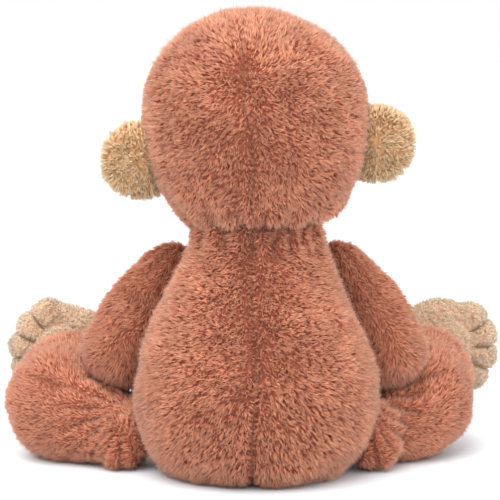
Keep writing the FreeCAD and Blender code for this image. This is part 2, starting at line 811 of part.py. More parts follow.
def legs():
    """Thighs run out from the hips, shins bend forward, and the feet stand with their toes outward."""
    for side, name in ((1, "left"), (-1, "right")):
        names = [f"{name}_{joint}" for joint in ("hip", "knee", "ankle")]
        limb_panels(f"{name}_leg", ("upper_panel", "lower_panel"), names, side, Vector(0, 0, 1))
        rise = math.radians(size("foot_rise"))
        along = Vector(side * math.cos(rise), 0, math.sin(rise))
        back = Vector(0, 1, 0)
        place = Placement(joint_point(f"{name}_foot", side), axes_rotation(along, back))
        ankle = joint_point(f"{name}_ankle", side)
        socket = ball("AnkleSocket", f"{cell('ankle_radius')} + {cell('socket_gap')}", ankle)
        labels = ("instep_panel", "sole_panel")
        paddle_parts(f"{name}_foot", labels, "foot", place, socket, 5)


def check_and_write():
    """Stops on any failed feature or bad solid, then writes one file for each sub-part."""
    doc.recompute()
    for item in doc.Objects:
        if {"Invalid", "Error"} & set(item.State):
            raise RuntimeError(f"{item.Name} ({item.Label}) failed: {item.State}")
    for item in pieces:
        if item.Shape.isNull() or not item.Shape.isValid() or not item.Shape.Solids:
            raise RuntimeError(f"{item.Label} has no valid solid")
    os.makedirs("parts", exist_ok=True)
    for item in pieces:
        item.Shape.exportStep(f"parts/{item.Label}.step")


torso()
head()
ears()
arms()
legs()
check_and_write()
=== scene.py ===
"""The looks of a sitting plush monkey with soft pile, seen from behind.

Each stuffed part is a closed skin. The large ones are blown up by a short cloth simulation, and seams and
folds are pressed into them. The pile is a mesh of small pointed locks that grow from each skin.
"""

import json
import math

import bmesh
import bpy
import numpy as np
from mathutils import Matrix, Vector


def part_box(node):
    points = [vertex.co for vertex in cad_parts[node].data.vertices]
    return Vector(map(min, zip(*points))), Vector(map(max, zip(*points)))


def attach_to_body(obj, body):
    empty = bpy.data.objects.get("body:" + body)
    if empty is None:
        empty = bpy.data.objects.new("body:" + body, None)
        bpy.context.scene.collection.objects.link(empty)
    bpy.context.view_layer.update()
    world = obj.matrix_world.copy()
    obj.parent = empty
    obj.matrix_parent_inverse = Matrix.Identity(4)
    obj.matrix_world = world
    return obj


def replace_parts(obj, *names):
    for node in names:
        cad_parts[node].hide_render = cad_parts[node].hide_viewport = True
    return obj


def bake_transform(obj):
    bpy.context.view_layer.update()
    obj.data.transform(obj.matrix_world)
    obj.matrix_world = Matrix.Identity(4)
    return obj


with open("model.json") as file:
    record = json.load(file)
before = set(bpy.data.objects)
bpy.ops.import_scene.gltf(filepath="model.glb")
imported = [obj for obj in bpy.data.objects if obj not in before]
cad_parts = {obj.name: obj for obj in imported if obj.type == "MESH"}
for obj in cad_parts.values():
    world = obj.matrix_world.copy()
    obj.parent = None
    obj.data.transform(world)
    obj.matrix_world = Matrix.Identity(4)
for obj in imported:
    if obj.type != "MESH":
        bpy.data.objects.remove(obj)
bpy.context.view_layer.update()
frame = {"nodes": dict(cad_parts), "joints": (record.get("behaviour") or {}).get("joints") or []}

MM = 0.001
SIDES = (("left", 1), ("right", -1))
JOINTS = {joint["name"]: joint for joint in frame["joints"]}


# ---- places taken from the frame


def joint_place(name):
    return np.array(JOINTS[name]["pos_m"])


def box_of(*nodes):
    corners = [np.array(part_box(node)) for node in nodes]
    return np.min([c[0] for c in corners], axis=0), np.max([c[1] for c in corners], axis=0)


def unit(vector):
    vector = np.asarray(vector, float)
    return vector / np.linalg.norm(vector, axis=-1, keepdims=True)


HEAD_LOW, HEAD_HIGH = box_of("head_back_left_panel", "head_back_right_panel", "head_side_left_panel")
HEAD_BALL = (HEAD_HIGH[0] - HEAD_LOW[0]) / 2
HEAD_TILT = math.atan2(JOINTS["left_ear_flop"]["axis"][0], JOINTS["left_ear_flop"]["axis"][2])
HEAD_UP = np.array([math.sin(HEAD_TILT), 0, math.cos(HEAD_TILT)])
HEAD_SIDE = np.array([math.cos(HEAD_TILT), 0, -math.sin(HEAD_TILT)])
HEAD_BACK = np.array([0.0, 1.0, 0.0])

# the head's middle, a little above the middle of its panels
HEAD_RISE = 6 * MM
HEAD = np.array([0, 0, HEAD_HIGH[2] - HEAD_BALL + HEAD_RISE])

# where the head meets the collar of the torso
CREASE = joint_place("neck_nod") + [0, 0, 11 * MM]


# ---- mesh helpers


def link(name, mesh):
    piece = bpy.data.objects.new(name, mesh)
    bpy.context.scene.collection.objects.link(piece)
    return piece


def triangle_mesh(name, points, triangles):
    """A smooth-shaded mesh straight from arrays."""
    mesh = bpy.data.meshes.new(name)
    mesh.vertices.add(len(points))
    mesh.vertices.foreach_set("co", np.ascontiguousarray(points, np.float32).ravel())
    mesh.loops.add(triangles.size)
    mesh.loops.foreach_set("vertex_index", np.ascontiguousarray(triangles, np.int32).ravel())
    mesh.polygons.add(len(triangles))
    mesh.polygons.foreach_set("loop_start", np.arange(0, triangles.size, 3, dtype=np.int32))
    mesh.polygons.foreach_set("use_smooth", np.ones(len(triangles), bool))
    mesh.update(calc_edges=True)
    return mesh


def grid_mesh(name, rows):
    """A closed mesh from rings of points, with a pole at each end."""
    rows = np.asarray(rows)
    rings, around = rows.shape[:2]
    points = np.vstack([rows.reshape(-1, 3), rows[0].mean(0), rows[-1].mean(0)])
    faces = []
    for ring in range(rings - 1):
        for step in range(around):
            a, b = ring * around + step, ring * around + (step + 1) % around
            faces += [(a, b, b + around), (a, b + around, a + around)]
    first, last = len(points) - 2, len(points) - 1
    for step in range(around):
        following = (step + 1) % around
        faces.append((first, following, step))
        end = (rings - 1) * around
        faces.append((last, end + step, end + following))
    return triangle_mesh(name, points, np.array(faces))


def apply_modifiers(piece):
    graph = bpy.context.evaluated_depsgraph_get()
    mesh = bpy.data.meshes.new_from_object(piece.evaluated_get(graph), depsgraph=graph)
    piece.modifiers.clear()
    piece.data = mesh
    return piece


def remeshed(piece, voxel, smoothing=6):
    """The piece as one closed skin of even faces."""
    remesh = piece.modifiers.new("skin", "REMESH")
    remesh.mode = "VOXEL"
    remesh.voxel_size = voxel
    remesh.use_smooth_shade = True
    smooth = piece.modifiers.new("smooth", "SMOOTH")
    smooth.factor = 0.5
    smooth.iterations = smoothing
    return apply_modifiers(piece)


def rows_of(items, label, kind=np.float32):
    """The three numbers that each item holds under the label."""
    values = np.empty(len(items) * 3, kind)
    items.foreach_get(label, values)
    return values.reshape(-1, 3)


def points_of(piece):
    return rows_of(piece.data.vertices, "co").astype(float)


def normals_of(piece):
    return rows_of(piece.data.vertex_normals, "vector").astype(float)


def triangles_of(piece):
    piece.data.calc_loop_triangles()
    return rows_of(piece.data.loop_triangles, "vertices", np.int32)


def set_points(piece, points):
    piece.data.vertices.foreach_set("co", np.ascontiguousarray(points, np.float32).ravel())
    piece.data.update()


def ball_shape():
    """The points and triangles of a round ball of radius 1."""
    bpy.ops.mesh.primitive_ico_sphere_add(subdivisions=4, radius=1)
    ball = bpy.context.object
    shape = points_of(ball), triangles_of(ball)
    bpy.data.objects.remove(ball)
    return shape


BALL = ball_shape()


def from_balls(name, balls, voxel):
    """One skin round overlapping balls, each (centre, radius) or (centre, radii, axes)."""
    points, triangles, count = [], [], 0
    for centre, radius, *axes in balls:
        shape = BALL[0] * radius
        if axes:
            shape = shape @ np.array(axes[0])
        points.append(shape + centre)
        triangles.append(BALL[1] + count)
        count += len(shape)
    heap = triangle_mesh(name, np.vstack(points), np.vstack(triangles))
    return remeshed(link(name, heap), voxel)


def chain(*stations, step=4 * MM):
    """Balls that run from station to station, each (centre, radius), growing evenly in between."""
    balls = []
    for (start, near), (end, far) in zip(stations, stations[1:]):
        start, end = np.array(start, float), np.array(end, float)
        steps = max(2, int(np.linalg.norm(end - start) / step))
        for share in np.linspace(0, 1, steps):
            balls.append((start + (end - start) * share, near + (far - near) * share))
    return balls


def smooth_line(stations, count):
    """A smooth curve through the stations."""
    stations = np.array(stations, float)
    padded = np.vstack([2 * stations[0] - stations[1], stations, 2 * stations[-1] - stations[-2]])
    line = []
    for i in range(1, len(padded) - 2):
        a, b, c, d = padded[i - 1 : i + 3]
        for t in np.linspace(0, 1, count, endpoint=False):
            square, cube = 2 * a - 5 * b + 4 * c - d, 3 * b - a - 3 * c + d
            line.append(0.5 * (2 * b + (c - a) * t + square * t**2 + cube * t**3))
    line.append(stations[-1])
    return np.array(line)


def waves(points, size, seed, octaves=3):
    """Smooth irregular values from about -1 to 1 whose bumps are about that size."""
    random = np.random.default_rng(seed)
    total = np.zeros(len(points))
    for octave in range(octaves):
        for _ in range(5):
            direction = unit(random.normal(size=3)) * (2**octave) * math.pi / size
            total += np.sin(points @ direction + random.uniform(0, 2 * math.pi)) / (5 * 1.6**octave)
    return total * 1.5


def groove(distance, width):
    """1 in the middle of a groove, falling to 0 about one width away."""
    return np.exp(-((distance / width) ** 2))


def near_line(points, start, end):
    """How far each point is from a straight line between two points, and its share along that line."""
    start, end = np.array(start, float), np.array(end, float)
    along = end - start
    share = np.clip((points - start) @ along / (along @ along), 0, 1)
    return np.linalg.norm(points - start - share[:, None] * along, axis=1), share


# ---- skins


SKIN_VOXEL = 5 * MM
SMALL_VOXEL = 3.2 * MM


def level_circle(radius, height):
    """A level circle of points round the upright axis, from millimetres."""
    turn = np.linspace(0, 2 * math.pi, 96, endpoint=False)
    return np.stack([radius * np.cos(turn), radius * np.sin(turn), np.full(96, height)], axis=1) * MM


def torso_form():
    """A pear whose flat base rests on the floor."""
    # height and radius, in millimetres
    outline = [
        (1, 28), (1, 43), (4, 53.5), (15, 65), (31, 73.5), (48, 77), (66, 75.5), (82, 71),
        (98, 64.5), (113, 57), (128, 49.5), (142, 44), (152, 41.5), (161, 41), (166, 38), (169, 27),
    ]
    rings = [level_circle(radius, height) for height, radius in smooth_line(outline, 4)]
    return remeshed(link("torso_skin", grid_mesh("torso_skin", rings)), SKIN_VOXEL, 3)


# from the head's middle: sideways, back and front, up to the crown, down to the full length of the jowl,
# and down to where the jowl is flattened
HEAD_WIDE, HEAD_DEEP, HEAD_CROWN, HEAD_JOWL = 70 * MM, 70.5 * MM, 64 * MM, 93 * MM
HEAD_BASE = 70 * MM


def in_head(points):
    """Points in the head's own axes: to its left, backwards, and up."""
    return (points - HEAD) @ np.stack([HEAD_SIDE, HEAD_BACK, HEAD_UP], axis=1)


def head_surface(directions):
    """The head's outline in the given directions of its own axes."""
    tall = np.where(directions[:, 2] > 0, HEAD_CROWN, HEAD_JOWL)
    stretch = np.stack([np.full(len(tall), HEAD_WIDE), np.full(len(tall), HEAD_DEEP), tall], axis=1)
    local = directions * stretch / np.linalg.norm(directions, axis=1, keepdims=True)
    under = np.maximum(-HEAD_BASE - local[:, 2], 0)
    local[:, 2] += under * 0.68
    local[:, 0] += 4 * MM * np.clip(local[:, 2] / HEAD_CROWN, 0, 1) ** 2
    return HEAD + local[:, :1] * HEAD_SIDE + local[:, 1:2] * HEAD_BACK + local[:, 2:] * HEAD_UP


def head_form():
    points, triangles = BALL
    piece = link("head_skin", triangle_mesh("head_skin", head_surface(points), triangles))
    return remeshed(piece, SKIN_VOXEL, 3)


def in_front(local):
    """Which points of the head lie in front of the seams at the sides of its face."""
    return -local[:, 1] > np.abs(local[:, 0]) * math.tan(math.radians(35))


def on_face(local):
    """Which points lie on the heart-shaped face: under its brow seam and inside its round cheeks."""
    brow = 15 * MM + 8 * MM * np.sin(np.clip(np.abs(local[:, 0]) / (46 * MM), 0, 1) * math.pi) ** 0.8
    cheeks = np.hypot(local[:, 0] / (56 * MM), (local[:, 2] + 20 * MM) / (45 * MM))
    return in_front(local) & (local[:, 2] < brow) & (cheeks < 1)


def neck_form():
    """The plug between torso and head, drawn in a little at its middle."""
    heights = np.linspace(-12, 12, 9)
    radii = 39 - 4 * np.cos(heights / 12 * math.pi / 2)
    outline = [(-13, 26), *zip(heights, radii), (13, 26)]
    rings = [level_circle(radius, height) + CREASE for height, radius in outline]
    return remeshed(link("neck_skin", grid_mesh("neck_skin", rings)), SMALL_VOXEL, 2)


def ear_form(name, side):
    """A round puff, dished a little in front."""
    low, high = box_of(f"{name}_ear_front_panel", f"{name}_ear_back_panel")
    radius = (high[2] - low[2]) / 2 - 1.2 * MM
    edge = high[0] if side > 0 else low[0]
    centre = np.array([edge - side * (radius + 1.5 * MM), 0.0, (low[2] + high[2]) / 2 - 0.6 * MM])
    rim = [
        (centre + radius * 0.62 * (math.cos(a) * HEAD_SIDE + math.sin(a) * HEAD_UP), radius * 0.38)
        for a in np.linspace(0, 2 * math.pi, 28, endpoint=False)
    ]
    axes = [HEAD_SIDE, HEAD_BACK, HEAD_UP]
    middle = (centre + HEAD_BACK * 1.5 * MM, np.array([0.66, 0.36, 0.66]) * radius, axes)
    return from_balls(f"{name}_ear_skin", [*rim, middle], SMALL_VOXEL)


def mirrored(side, out, forward, height):
    """A place in metres from millimetres to the side, forward and up."""
    return np.array([side * out, -forward, height]) * MM


# places out to the side, forward and up, in millimetres
ELBOW = {"left": (92, 25, 77), "right": (91, 25, 77)}
THIGH = {"left": (105, 29, 28), "right": (100, 38, 28)}
KNEE = {"left": (131, 46, 37), "right": (111, 57, 37)}

LIMBS = {"arm": ("shoulder_swing", ELBOW, "wrist_bend"), "leg": ("hip_swing", KNEE, "ankle_bend")}

# the gathered fold of cloth behind each hip: out, forward, height and radius
LOBE = {"left": (88, 8, 24, 17), "right": (77, 3, 28, 18)}

# radius and half depth of the pad, reach and radius of the tips, degrees between them, and their number
PADDLE = {
    "foot": {"pad": 34.5, "deep": 15, "reach": 30.5, "tip": 12, "step": 27, "tips": 5},
    "hand": {"pad": 20, "deep": 10.5, "reach": 20, "tip": 7, "step": 30, "tips": 4},
}

# how far the middle of the pad lies behind the middle of the whole hand or foot
PAD_BEHIND = 4 * MM


def limb_line(name, side, kind):
    """Where an arm or leg starts, bends and ends."""
    start, bend, end = LIMBS[kind]
    return joint_place(f"{name}_{start}"), mirrored(side, *bend[name]), joint_place(f"{name}_{end}")


def arm_form(name, side):
    """A soft sleeve that hangs from the shoulder, sags at the elbow and runs forward to the wrist."""
    shoulder, elbow, wrist = limb_line(name, side, "arm")
    root = shoulder + mirrored(side, -9, -2, -3)
    middle = shoulder * 0.52 + elbow * 0.48 + mirrored(side, 2, 0, 2)
    sag = elbow + mirrored(side, -3, 5, -7)
    stations = [(root, 13), (shoulder, 15.5), (middle, 20.5), (elbow, 22), (sag, 20.3), (wrist, 16)]
    balls = chain(*[(place, radius * MM) for place, radius in stations])
    return from_balls(f"{name}_arm_skin", balls, SKIN_VOXEL)


def leg_form(name, side):
    """A fat bent leg: a gathered root, a round knee on the floor and a shin that leads to the foot."""
    hip, knee, ankle = limb_line(name, side, "leg")
    thigh = mirrored(side, *THIGH[name])
    root = hip + mirrored(side, 0, 0, 5)
    bulge = knee * 0.62 + thigh * 0.38
    stations = [(root, 20), (thigh, 27.5), (bulge, 34.8), (knee, 37.3), (ankle, 32.5)]
    balls = chain(*[(place, radius * MM) for place, radius in stations])
    out, forward, height, radius = LOBE[name]
    foot_of_lobe, top_of_lobe = (mirrored(side, out, forward, level) for level in (radius, height))
    balls += chain((foot_of_lobe, radius * MM), (top_of_lobe, radius * MM))
    return from_balls(f"{name}_leg_skin", balls, SKIN_VOXEL)


def paddle_axes(name, kind):
    """The middle of a hand's or foot's pad, its long axis, the one across, and where its back faces."""
    side = dict(SIDES)[name]
    if kind == "foot":
        low, high = box_of(f"{name}_foot_instep_panel", f"{name}_foot_sole_panel")
        axis = np.array(JOINTS[f"{name}_ankle_bend"]["axis"])
        back = HEAD_BACK
        along = unit(np.cross(axis, back)) * side
        along = along if along[0] * side > 0 else -along
        droop, shift = {"left": (0, (1, 0, -2)), "right": (0.34, (3, 0, -1))}[name]
        along = unit(along - np.array([0, 0, droop]))
        centre = (low + high) / 2 + mirrored(side, *shift)
    else:
        low, high = box_of(f"{name}_hand_back_panel", f"{name}_hand_palm_panel")
        centre = (low + high) / 2
        along = unit(centre - joint_place(f"{name}_wrist_bend"))
        back = unit(np.cross([1.0, 0, 0], along))
        back = back if back[1] < 0 else -back
    return centre - along * PAD_BEHIND, along, np.cross(back, along), back


def paddle_form(name, kind):
    """A padded hand or foot with a row of short round fingers or toes."""
    size = PADDLE[kind]
    middle, *axes = paddle_axes(name, kind)
    along, across = axes[:2]
    balls = [(middle, np.array([size["pad"], size["pad"], size["deep"]]) * MM, axes)]
    for i in range(size["tips"]):
        angle = math.radians(size["step"] * (i - (size["tips"] - 1) / 2))
        direction = math.cos(angle) * along + math.sin(angle) * across
        inner, outer = size["pad"] * 0.6 * MM, size["reach"] * MM
        thick = size["tip"] * MM
        balls += chain((middle + direction * inner, thick), (middle + direction * outer, thick))
    return from_balls(f"{name}_{kind}_skin", balls, SMALL_VOXEL)


def muzzle_form():
    low, high = box_of("muzzle_panel")
    centre, half = (low + high) / 2, (high - low) / 2
    centre = centre + HEAD_BACK * 4 * MM
    radii = np.array([half[0] * 0.97, half[1] * 1.15, half[2] * 0.94])
    balls = [(centre, radii, [HEAD_SIDE, HEAD_BACK, HEAD_UP])]
    for side in (1, -1):
        cheek = centre + side * half[0] * 0.3 * HEAD_SIDE
        cheek = cheek - HEAD_UP * half[2] * 0.15 - HEAD_BACK * half[1] * 0.2
        balls.append((cheek, half[2] * 0.72))
    return from_balls("muzzle_skin", balls, SMALL_VOXEL)


# ---- stuffing by cloth simulation


FARTHEST_SWELL, CLOTH_STEPS = 3 * MM, 16


def blown_up(skins):
    """Inflates the skins together, each given with how firmly its points are pinned."""
    before = {}
    for piece, pins in skins:
        before[piece.name] = points_of(piece)
        group = piece.vertex_groups.new(name="pins")
        for index, weight in enumerate(pins):
            group.add([index], float(weight), "REPLACE")
        cloth = piece.modifiers.new("cloth", "CLOTH").settings
        cloth.use_pressure = True
        cloth.uniform_pressure_force = 4
        cloth.quality = 5
        cloth.mass = 0.3
        cloth.tension_stiffness = 15
        cloth.compression_stiffness = 15
        cloth.shear_stiffness = 5
        cloth.bending_stiffness = 0.5
        cloth.vertex_group_mass = "pins"
        cloth.pin_stiffness = 1
        cloth.effector_weights.gravity = 0
    for step in range(1, 1 + CLOTH_STEPS):
        bpy.context.scene.frame_set(step)
    for piece, pins in skins:
        apply_modifiers(piece)
        start = before[piece.name]
        move = points_of(piece) - start
        length = np.linalg.norm(move, axis=1, keepdims=True)
        set_points(piece, start + move * np.minimum(1, FARTHEST_SWELL / np.maximum(length, 1e-9)))
        piece.vertex_groups.clear()
    bpy.context.scene.frame_set(1)


def finer(piece):
    """Finer faces, which keep the skin's own curve."""
    subdivision = piece.modifiers.new("finer", "SUBSURF")
    subdivision.levels = subdivision.render_levels = 2
    apply_modifiers(piece)


def pressed(piece, depth_at):
    """Moves each point of the skin inwards by the depth that depth_at(points, normals) gives."""
    points, normals = points_of(piece), normals_of(piece)
    set_points(piece, points - normals * depth_at(points, normals)[:, None])


# ---- seams and folds


def gather(points, centre, axis, spokes, reach, depth):
    """Pleats that fan out round an axis through a gathered seam, deepest near it."""
    offset = points - centre
    distance = np.linalg.norm(offset, axis=1)
    axis = unit(axis)
    first = unit(np.cross(axis, [0.3, 0.9, 0.2]))
    second = np.cross(axis, first)
    turn = np.arctan2(offset @ second, offset @ first)
    wobble = 0.5 * np.sin(3 * turn + 1.3) + 0.4 * np.sin(5 * turn + 0.4)
    fade = np.clip(1 - distance / reach, 0, 1) ** 1.2
    return depth * fade * np.maximum(np.sin(spokes * turn + 1.5 * wobble), -0.35)


def torso_folds(points, normals):
    """Seams at the back, belly and sides, a slit near the seat, pleats at the collar, and soft dents."""
    height = points[:, 2]
    back = (points[:, 1] > 0) * 1.0
    seam_x = 1.5 * MM + 1.4 * MM * np.sin(height / (17 * MM))
    slit = groove(height - 42 * MM, 17 * MM) + groove(height, 9 * MM)
    off_seam = points[:, 0] - seam_x
    depth = groove(off_seam, 2.6 * MM) * 2.3 * MM * back
    depth += groove(off_seam, 2.0 * MM) * slit * 3.6 * MM * back
    depth += groove(points[:, 0], 3.5 * MM) * 1.5 * MM * (1 - back)
    depth += groove(points[:, 1], 2.6 * MM) * 1.2 * MM
    # shallow creases: start, end, width and depth, in millimetres
    for start, end, width, deep in (
        ((6, 74, 25), (-42, 61, 16), 3.6, 2.2),
        ((10, 74, 21), (46, 56, 12), 3.8, 2.2),
        ((-14, 60, 98), (-38, 50, 88), 4.0, 1.2),
        ((12, 52, 124), (34, 44, 112), 4.0, 1.2),
    ):
        crease, share = near_line(points, np.array(start) * MM, np.array(end) * MM)
        depth += groove(crease, width * MM) * deep * MM * np.sin(share * math.pi)
    turn = np.arctan2(points[:, 1], points[:, 0])
    pleats = np.sin(19 * turn + 2 * np.sin(3 * turn)) + 0.4
    depth += groove(height - 160 * MM, 13 * MM) * 1.6 * MM * pleats
    # a narrow groove at the neck line, which also darkens the pile there with painted shade
    depth += groove(height - 168 * MM, 4 * MM) * 2 * MM
    return depth + waves(points, 42 * MM, 3) * MM


CROWN = head_surface(np.array([[0.07, 0.885, 0.46]]))[0]


def head_folds(points, normals):
    """Seams at the back and sides, the dent of the crown, and pleats round the base."""
    local = in_head(points)
    off_seam = local[:, 0] - 5 * MM - 0.8 * MM * np.sin(local[:, 2] / (12 * MM))
    depth = groove(off_seam, 2.0 * MM) * (local[:, 1] > 0) * 1.8 * MM
    depth += groove(local[:, 1], 2.4 * MM) * MM
    depth += groove(np.linalg.norm(points - CROWN, axis=1), 5.5 * MM) * 2.6 * MM
    turn = np.arctan2(local[:, 1], local[:, 0])
    pleats = np.sin(17 * turn + 1.5 * np.sin(4 * turn)) + 0.3
    depth += groove(local[:, 2] + HEAD_BASE - 3 * MM, 10 * MM) * 1.5 * MM * pleats
    # a narrow groove at the neck line, which also darkens the pile there with painted shade
    depth += groove(local[:, 2] + HEAD_BASE + 2 * MM, 4 * MM) * 2 * MM
    return depth + waves(points, 45 * MM, 5) * 0.9 * MM


def arm_folds(name, side):
    """Pleats at the shoulder and a crease from the armpit."""
    shoulder, elbow, _ = limb_line(name, side, "arm")

    def depth(points, normals):
        seam = shoulder + mirrored(side, -4, 0, 0)
        pleats = gather(points, seam, elbow - shoulder, 13, 44 * MM, 2.2 * MM)
        pit = shoulder + mirrored(side, 8, -12, -9)
        crease, share = near_line(points, pit, pit + mirrored(side, 24, -2, -12))
        fold = groove(crease, 2.6 * MM) * (1 - share) * 3.6 * MM
        wrinkles = waves(points, 26 * MM, 11 + side) * 0.8 * MM
        return pleats + fold + wrinkles

    return depth


def leg_folds(name, side):
    """Pleats that fan out from the hip, ring folds above the ankle, and creases round the knee."""
    _, knee, ankle = limb_line(name, side, "leg")
    out, forward, height, radius = LOBE[name]
    fan = mirrored(side, out - 6, forward + 4, height + radius - 2)

    def depth(points, normals):
        pleats = gather(points, fan, [0.1, 1, 0.1], 21, 60 * MM, 4.6 * MM)
        edge = mirrored(side, out + radius - 2, forward + 6, 0)
        crease, _ = near_line(points, edge, edge + mirrored(side, -2, 0, height + radius - 4))
        total = pleats + groove(crease, 3 * MM) * 4 * MM
        shin = unit(ankle - knee)
        along = (points - ankle) @ shin
        upper = np.clip(normals[:, 2] * 1.4 + 0.3, 0, 1)
        bend = 2.6 * MM * waves(points, 22 * MM, 41 + side, 2)
        rings = np.sin((along + bend) / (1.4 * MM)) * np.exp(-(((along + 8 * MM) / (22 * MM)) ** 2))
        total += rings * upper * (2.3 + waves(points, 30 * MM, 47 + side, 1)) * MM
        for start, end in (((-28, -24, 24), (0, -32, 8)), ((-6, -34, 14), (16, -22, 22))):
            crease, share = near_line(points, knee + mirrored(side, *start), knee + mirrored(side, *end))
            total += groove(crease, 3 * MM) * np.sin(share * math.pi) * 4.6 * MM
        return total + waves(points, 34 * MM, 23 + side) * 1.1 * MM

    return depth


def paddle_folds(name, kind):
    """Gaps between the toes or fingers, and a shallow band at their roots."""
    size = PADDLE[kind]
    middle, along, across, _ = paddle_axes(name, kind)

    def depth(points, normals):
        offset = points - middle
        reach, swing = offset @ along, offset @ across
        distance = np.hypot(reach, swing)
        angle = np.degrees(np.arctan2(swing, reach))
        between = (angle / size["step"] + (size["tips"] - 1) / 2 + 0.5) % 1
        on_toes = np.abs(angle) < size["step"] * (size["tips"] / 2 - 0.5)
        gap = groove(np.minimum(between, 1 - between) * math.radians(size["step"]) * distance, 1.6 * MM)
        outer = np.clip((distance - size["pad"] * 0.62 * MM) / (6 * MM), 0, 1)
        band = groove(distance - size["pad"] * 0.66 * MM, 3 * MM) * (reach > 0)
        return gap * outer * on_toes * 1.8 * MM + band * 0.9 * MM + waves(points, 20 * MM, 31) * 0.4 * MM

    return depth


# ---- pile


def lock_roots(skin, spacing, keep, random):
    """Evenly scattered places on a skin, with its normal there."""
    points, normals, triangles = points_of(skin), normals_of(skin), triangles_of(skin)
    a, b, c = (points[triangles[:, i]] for i in range(3))
    middles = (a + b + c) / 3
    triangles = triangles[keep(middles, unit(normals[triangles].mean(1)))]
    a, b, c = (points[triangles[:, i]] for i in range(3))
    areas = np.linalg.norm(np.cross(b - a, c - a), axis=1) / 2
    count = int(areas.sum() / spacing**2)
    chosen = np.searchsorted(np.cumsum(areas) / areas.sum(), random.uniform(size=count))
    chosen = np.minimum(chosen, len(triangles) - 1)
    u, v = random.uniform(size=(2, count))
    over = u + v > 1
    u[over], v[over] = 1 - u[over], 1 - v[over]
    shares = np.stack([1 - u - v, u, v], axis=1)[:, :, None]
    corners = triangles[chosen]
    return (points[corners] * shares).sum(1), unit((normals[corners] * shares).sum(1))


def pile(
    name, skin, look, comb, keep, folds, seed, length, lean,
    width=0.66 * MM, spacing=0.66 * MM, strands=4, spread=0.9 * MM, mess=0.4, contrast=0.6, swirl=0.5,
):
    """Pile on a skin: small locks of straight spikes, combed along comb(points, normals).

    lean is the angle of a lock to the skin in degrees, mess and swirl turn it at random and in patches,
    contrast varies its tone at random, and locks in the hollows that folds gives are darker with painted
    shade.
    """
    random = np.random.default_rng(seed)
    roots, normals = lock_roots(skin, spacing * math.sqrt(strands), keep, random)
    count = len(roots)
    flow = comb(roots, normals)
    flow = unit(flow - (flow * normals).sum(1, keepdims=True) * normals + 1e-9)
    across = np.cross(normals, flow)
    turn = mess * random.normal(size=count) + swirl * waves(roots, 17 * MM, seed + 50, 2)
    flow = flow * np.cos(turn)[:, None] + across * np.sin(turn)[:, None]
    lift = np.radians(lean + 10 * random.normal(size=count) + 12 * waves(roots, 12 * MM, seed + 70, 2))
    # painted shade: locks that stand in the seams, folds and dents pressed into the skin come out shorter
    # and darker
    crease = np.clip((folds(roots, normals) - 0.5 * MM) / (2.6 * MM), 0, 1)
    reach = length * (1 + 0.14 * random.normal(size=count) + 0.1 * waves(roots, 14 * MM, seed + 90, 2))
    reach *= 1 - 0.45 * crease
    # each lock's tone varies at random, less a painted shade that deepens with the crease
    tone_and_painted_shade = contrast * random.normal(size=count) - 1.6 * crease

    roots, normals, flow = (np.repeat(values, strands, axis=0) for values in (roots, normals, flow))
    lift, reach, tone_and_painted_shade = (np.repeat(values, strands) for values in (lift, reach, tone_and_painted_shade))
    count = len(roots)
    tone_and_painted_shade = tone_and_painted_shade + contrast * 0.6 * random.normal(size=count)
    across = np.cross(normals, flow)
    radius = spread * np.sqrt(random.uniform(size=count))
    angle = random.uniform(0, 2 * math.pi, size=count)
    offset = (radius * np.cos(angle))[:, None] * flow + (radius * np.sin(angle))[:, None] * across
    lift = (lift + 0.14 * random.normal(size=count))[:, None]
    reach = (reach * (1 + 0.14 * random.normal(size=count)))[:, None]

    start = roots + offset - normals * 0.8 * MM
    tip = roots + offset * 0.3 + (flow * np.cos(lift) + normals * np.sin(lift)) * reach
    tip += random.normal(size=(count, 3)) * 0.4 * MM
    side = unit(np.cross(tip - start, normals) + 1e-9)
    above = unit(np.cross(side, tip - start))
    roll = random.uniform(0, 2 * math.pi, size=count)
    corners = []
    for corner in range(3):
        at = roll + corner * 2 * math.pi / 3
        corners.append(start + width / 2 * (np.cos(at)[:, None] * side + np.sin(at)[:, None] * above))
    points = np.stack([*corners, tip], axis=1)
    points[:, :, 2] = np.maximum(points[:, :, 2], 0.3 * MM)
    spike = np.array([(0, 2, 1), (0, 1, 3), (1, 2, 3), (2, 0, 3)])
    triangles = (spike[None] + 4 * np.arange(count)[:, None, None]).reshape(-1, 3)
    mesh = triangle_mesh(name, points.reshape(-1, 3), triangles)
    for label, values in (("height", np.tile([0, 0, 0, 1], count)), ("tone_and_painted_shade", np.repeat(tone_and_painted_shade, 4))):
        mesh.attributes.new(label, "FLOAT", "POINT").data.foreach_set("value", values.astype(np.float32))

    # each spike has a cell of the layout to itself, so that a map of it holds its own shade
    cells = math.ceil(math.sqrt(count))
    lower_left = np.stack([np.arange(count) % cells, np.arange(count) // cells], axis=1)[:, None]
    in_cell = np.array([(0.2, 0.1), (0.5, 0.1), (0.8, 0.1), (0.5, 0.9)])
    places = ((lower_left + in_cell) / cells).reshape(-1, 2)
    layout = mesh.uv_layers.new(name="OFBake")
    layout.data.foreach_set("uv", places[triangles.ravel()].astype(np.float32).ravel())
    mesh.materials.append(look)
    return link(name, mesh)


# ---- threads


